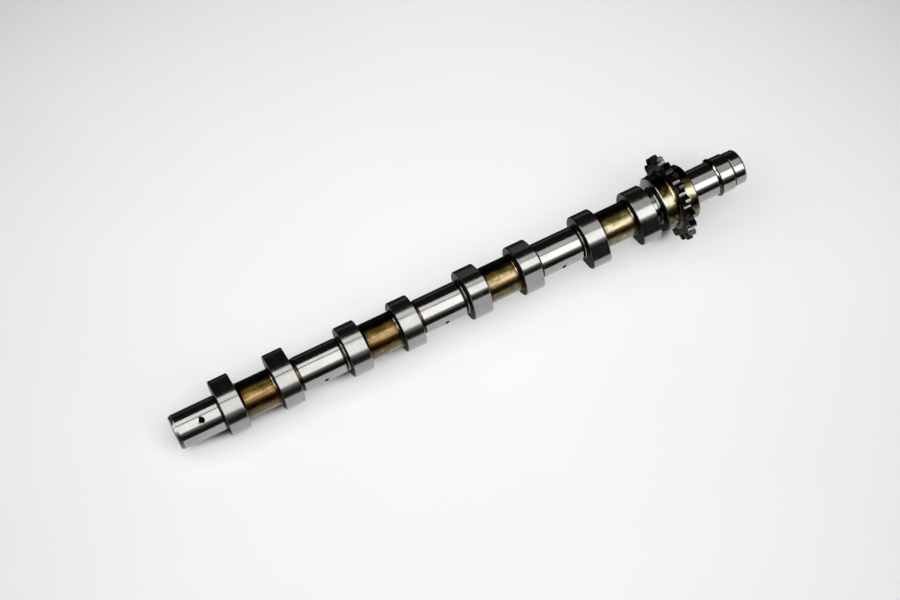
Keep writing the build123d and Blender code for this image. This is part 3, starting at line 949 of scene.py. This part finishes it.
# Painted light in these surfaces: lobe_side, thrust and sprocket_side are darker on one half as painted shade. Cast
# and the collar_material surfaces (brass, neck, shoulder, lobe_edge, collar_fillet, lead_in and rib_side) carry a
# painted highlight band and painted shade by angle. Relief has a painted glint, and tooth_flank and tooth_seat have a
# painted sheen.
mats = {
    "journal": ground_steel("ground_journal"),
    "lobe": ground_steel("ground_lobe", base=(0.335, 0.334, 0.322), rough=(0.14, 0.21)),
    "lobe_side": side_material("lobe_side", (0.115, 0.113, 0.108), (0.030, 0.031, 0.027), 0.34),
    "relief": relief_material(),
    "cast": cast_material(),
    "thrust": side_material("thrust_face", (0.34, 0.336, 0.32), (0.045, 0.043, 0.044), 0.26),
    "brass": collar_material("collar_varnish_painted_light", COLLAR),
    "sprocket_side": side_material("sprocket_side", (0.085, 0.072, 0.058), (0.060, 0.050, 0.043), 0.36),
    "tooth_flank": flank_material(),
    "tooth_seat": seat_material(),
    "tooth_land": simple("tooth_land", (0.19, 0.186, 0.18), 0.11),
    "tooth_bevel": simple("tooth_bevel", (0.015, 0.0135, 0.012), 0.33),
    "nose": ground_steel("ground_nose"),
    "neck": collar_material("turned_neck", NECK),
    "shoulder": collar_material("shoulder", SHOULDER),
    "lobe_edge": collar_material("lobe_edge", LOBE_EDGE, (0.14, 0.2)),
    "side_step": simple("side_step", (0.035, 0.024, 0.013), 0.3),
    "bead": simple("bead", (0.36, 0.35, 0.33), 0.2),
    "collar_fillet": collar_material("fillet_painted_highlight", COLLAR_FILLET),
    "lead_in": collar_material("lead_in", LEAD_IN, (0.28, 0.36)),
    "rib_face": simple("rib_face", (0.06, 0.058, 0.052), 0.3),
    "rib_side": collar_material("rib_side", RIB_SIDE, (0.16, 0.22)),
    "end_face": simple("end_face", (0.13, 0.13, 0.125), 0.3),
    # near black: painted shade inside the drillings, the centre bores and the grooves at the nose
    "bore": simple("bore", (0.005, 0.0045, 0.004), 0.4),
}
for n in MATS:
    me.materials.append(mats[n])

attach(shaft, "root")
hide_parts("camshaft")

plug = frame["nodes"]["gallery_plug"]
pm = simple("plug_steel", (0.40, 0.40, 0.40), 0.28)
plug.data.materials.clear()
plug.data.materials.append(pm)

# =====================================================================================
# 3. Stage: floor with a painted pool of light and painted contact shadow, soft boxes, dark sheets for painted
#    reflections, camera
# =====================================================================================


def plane(name, corners, mat):
    d = bpy.data.meshes.new(name)
    d.from_pydata([tuple(c) for c in corners], [], [tuple(range(len(corners)))])
    o = bpy.data.objects.new(name, d)
    d.materials.append(mat)
    bpy.context.scene.collection.objects.link(o)
    return o


def floor_z(x):
    return -(17.5 + 0.0406 * (x * 1000 - 15.5)) * 0.001


# floor: a pale sheet that glows with a painted pool of light, brightest in the middle of the table and falling off to
# the sides and the back
fm = Mat("floor", Roughness=0.6)
fm.b.inputs["Specular IOR Level"].default_value = 0.0
paper = fm.mix(fm.ramp(fm.noise(fm.coords(6, 6, 6), 1.0, 2.0), 0.3, 0.7), (0.625, 0.63, 0.635), (0.64, 0.645, 0.645))


def floor_axis(ax, ay, c):
    """A coordinate across the table, from the object coordinates of the floor."""
    return fm.math("ADD", fm.math("ADD", fm.math("MULTIPLY", fm.xyz(0), ax), fm.math("MULTIPLY", fm.xyz(1), ay)), c)


# across: -1 at the left edge of the lit patch, +1 at the right; back: 0 in the middle, 1 far behind
across = floor_axis(2.832, -1.135, -0.500)
back = floor_axis(1.885, 3.90, -0.450)
across2 = fm.math("MULTIPLY", across, across)
back_c = fm.math("MINIMUM", fm.math("MAXIMUM", back, 0.0), 1.6)
back2 = fm.math("MULTIPLY", back_c, back_c)
fall = fm.math("ADD", fm.math("MULTIPLY", fm.math("MINIMUM", across2, 2.2), 0.15), fm.math("MULTIPLY", back2, 0.13))
fall = fm.math("ADD", fall, fm.math("MULTIPLY", fm.math("MULTIPLY", fm.math("MINIMUM", across2, 1.5), back2), 0.06))
back_l = fm.math("MINIMUM", fm.math("MAXIMUM", back, -1.0), 1.6)
across_l = fm.math("MINIMUM", fm.math("MAXIMUM", across, -1.5), 1.5)
level = fm.math("ADD", 0.328, fm.math("ADD", fm.math("MULTIPLY", across_l, 0.032), fm.math("MULTIPLY", back_l, 0.059)))
level = fm.math("ADD", level, fm.math("MULTIPLY", fm.math("MULTIPLY", across_l, back_l), 0.031))
glow = fm.math("MAXIMUM", fm.math("SUBTRACT", level, fall), 0.02)
fm.b.inputs["Emission Color"].default_value = (0.985, 1.0, 0.995, 1.0)
# painted contact shadow under and beside the shaft: the floor's colour and glow are darkened by ambient occlusion,
# with a painted brighter rim just beyond the shadow, worked out only on the strip of floor around it
ao = fm.t.nodes.new("ShaderNodeAmbientOcclusion")
ao.samples = 48
ao.inputs["Distance"].default_value = 0.03
lean = fm.t.nodes.new("ShaderNodeCombineXYZ")       # the shade falls towards the plain end
for i, val in enumerate((0.447, 0.0, 0.894)):
    lean.inputs[i].default_value = val
fm.link(lean.outputs[0], ao.inputs["Normal"])


def curve(v, table):
    """A number from a table over v, which runs from 0 to 1."""
    n = fm.t.nodes.new("ShaderNodeValToRGB")
    e = n.color_ramp.elements
    for i, (pos, val) in enumerate(table):
        el = e[i] if i < 2 else e.new(pos)
        el.position = pos
        el.color = (val, val, val, 1.0)
    fm.link(v, n.inputs[0])
    return n.outputs[0]


# painted light: a little more glow on the near half of the floor
glow = fm.math("ADD", glow, fm.ramp(back, -0.1, 0.5, 0.024, 0.0))
open_floor = fm.t.nodes.new("ShaderNodeBsdfPrincipled")
for key in ("Roughness", "Specular IOR Level", "Emission Color"):
    open_floor.inputs[key].default_value = fm.b.inputs[key].default_value
fm.put(open_floor.inputs["Base Color"], paper)
fm.put(open_floor.inputs["Emission Strength"], glow)
fm.set("Base Color", fm.mix(1.0, paper, curve(ao.outputs["AO"], [(0.30, 0.05), (0.335, 0.25), (0.36, 0.50), (0.39, 1.0)]), "MULTIPLY"))
fm.set("Emission Strength", fm.math("MULTIPLY", glow, curve(ao.outputs["AO"], [(0.385, 0.0), (0.415, 0.43), (0.445, 0.70), (0.475, 0.91), (0.505, 1.03), (0.70, 1.05), (0.82, 1.10), (0.90, 1.08), (0.985, 1.0)])))
beside = fm.math("MULTIPLY", fm.math("LESS_THAN", fm.math("ABSOLUTE", fm.xyz(1)), 0.066),
                 fm.math("LESS_THAN", fm.math("ABSOLUTE", fm.math("SUBTRACT", fm.xyz(0), 0.194)), 0.26))
either = fm.t.nodes.new("ShaderNodeMixShader")
fm.link(beside, either.inputs[0])
fm.link(open_floor.outputs[0], either.inputs[1])
fm.link(fm.b.outputs[0], either.inputs[2])
fm.link(either.outputs[0], fm.out.inputs["Surface"])
S = 4.0
plane("floor", [(-S, -S, floor_z(-S)), (S, -S, floor_z(S)), (S, S, floor_z(S)), (-S, S, floor_z(-S))], fm.m)


def emitter(name, strength_fn, colour=(1, 1, 1)):
    m = bpy.data.materials.new(name)
    m.use_nodes = True
    t = m.node_tree
    t.nodes.clear()
    out = t.nodes.new("ShaderNodeOutputMaterial")
    e = t.nodes.new("ShaderNodeEmission")
    e.inputs["Color"].default_value = (*colour, 1)
    t.links.new(e.outputs[0], out.inputs[0])
    h = Mat.__new__(Mat)
    h.m, h.t = m, t
    h.tc = t.nodes.new("ShaderNodeTexCoord")
    s = strength_fn(h)
    t.links.new(s, e.inputs["Strength"])
    return m


H = 1.5


def near_y(x):
    return -3.6 - 0.5 * x


GAP = [(-2.4, 0.66), (0.05, 0.27), (0.27, 0.33), (0.95, -0.38), (1.6, -1.14), (2.6, -2.30)]


def gap_y(x):
    for (xa, ya), (xb, yb) in zip(GAP, GAP[1:]):
        if x <= xb + 1e-9:
            return ya + (yb - ya) * (x - xa) / (xb - xa)


def far_y(x):
    return 1.141 - 0.412 * x


def main_strength(h):
    # soft near edge, set askew of the shaft; a little stronger towards +X
    s = h.math("ADD", h.xyz(1), h.math("MULTIPLY", h.xyz(0), 0.5))
    f = h.math("MINIMUM", h.math("ADD", h.ramp(s, -1.62, -1.0, 0.0, 1.0), h.ramp(s, -3.6, -1.4, 0.0, 0.10)), 1.0)
    return h.math("MULTIPLY", f, h.ramp(h.xyz(0), 0.0, 1.1, 2.12, 2.95))


def far_strength(h):
    return h.ramp(h.xyz(0), 0.25, 0.85, 1.85, 0.8)


def skew_panel(name, x0, x1, lo, hi, strength):
    xs = [x0] + [x for x, _ in GAP if x0 + 0.01 < x < x1 - 0.01] + [x1]
    corners = [(x, lo(x), H) for x in xs] + [(x, hi(x), H) for x in reversed(xs)]
    return plane(name, corners, emitter(name, strength))


main = skew_panel("softbox_main", -2.3, 2.6, near_y, lambda x: gap_y(x) - (0.10 if x < 0.6 else 0.04), main_strength)
far = skew_panel("softbox_far", -2.3, 1.6, lambda x: gap_y(x) + 0.055, far_y, far_strength)
for o in (main, far):
    o.visible_camera = False
    o.visible_shadow = True


def card_strength(h):
    return h.ramp(h.xyz(1), 0.10, 0.45, 0.02, 0.16)


# painted dark reflection: a faintly glowing sheet behind the shaft, seen only in the metal
def card_z(x):
    return floor_z(x) + 0.0002


card = plane("painted_dark_reflection_behind", [(-S, 0.036, card_z(-S)), (S, 0.036, card_z(S)), (S, S, card_z(S)), (-S, S, card_z(-S))], emitter("painted_dark_reflection_behind", card_strength))
# and a painted dark reflection beyond the near edge of the table, also seen only in the metal
room = plane("painted_dark_reflection_front", [(-S, -S, card_z(-S)), (S, -S, card_z(S)), (S, -0.30, card_z(S)), (-S, -0.30, card_z(-S))], emitter("painted_dark_reflection_front", lambda h: h.ramp(h.xyz(1), -0.45, -0.30, 0.02, 0.30)))
for o in (card, room):
    for flag in ("visible_camera", "visible_diffuse", "visible_transmission", "visible_volume_scatter", "visible_shadow"):
        setattr(o, flag, False)

w = bpy.data.worlds.new("studio")
bpy.context.scene.world = w
w.use_nodes = True
t = w.node_tree
t.nodes.clear()
wo = t.nodes.new("ShaderNodeOutputWorld")
dark, pale = t.nodes.new("ShaderNodeBackground"), t.nodes.new("ShaderNodeBackground")
dark.inputs["Color"].default_value = (0.0125, 0.0115, 0.009, 1)
pale.inputs["Color"].default_value = (0.80, 0.81, 0.82, 1)
lp, mx = t.nodes.new("ShaderNodeLightPath"), t.nodes.new("ShaderNodeMixShader")
t.links.new(lp.outputs["Is Camera Ray"], mx.inputs[0])
t.links.new(dark.outputs[0], mx.inputs[1])
t.links.new(pale.outputs[0], mx.inputs[2])
t.links.new(mx.outputs[0], wo.inputs[0])

cam_d = bpy.data.cameras.new("camera")
cam_d.lens = 72.0
cam_d.sensor_width = 36.0
cam_d.clip_start, cam_d.clip_end = 0.05, 50.0
cam = bpy.data.objects.new("camera", cam_d)
bpy.context.scene.collection.objects.link(cam)
R = ((0.885589830577786, 0.4205157797968692, -0.1972235556900835),
     (-0.4642246501667112, 0.8151140964384839, -0.3465320821581587),
     (0.015037491639336542, 0.3984413240730751, 0.9170705453323053))
mw = Matrix(R).to_4x4()
mw.translation = Vector((-0.051854913184318834, -0.410395524329914, 1.0901602310685314))
cam.matrix_world = mw
bpy.context.scene.camera = cam
bpy.context.scene.view_settings.view_transform = "Standard"
bpy.context.scene.view_settings.look = "None"
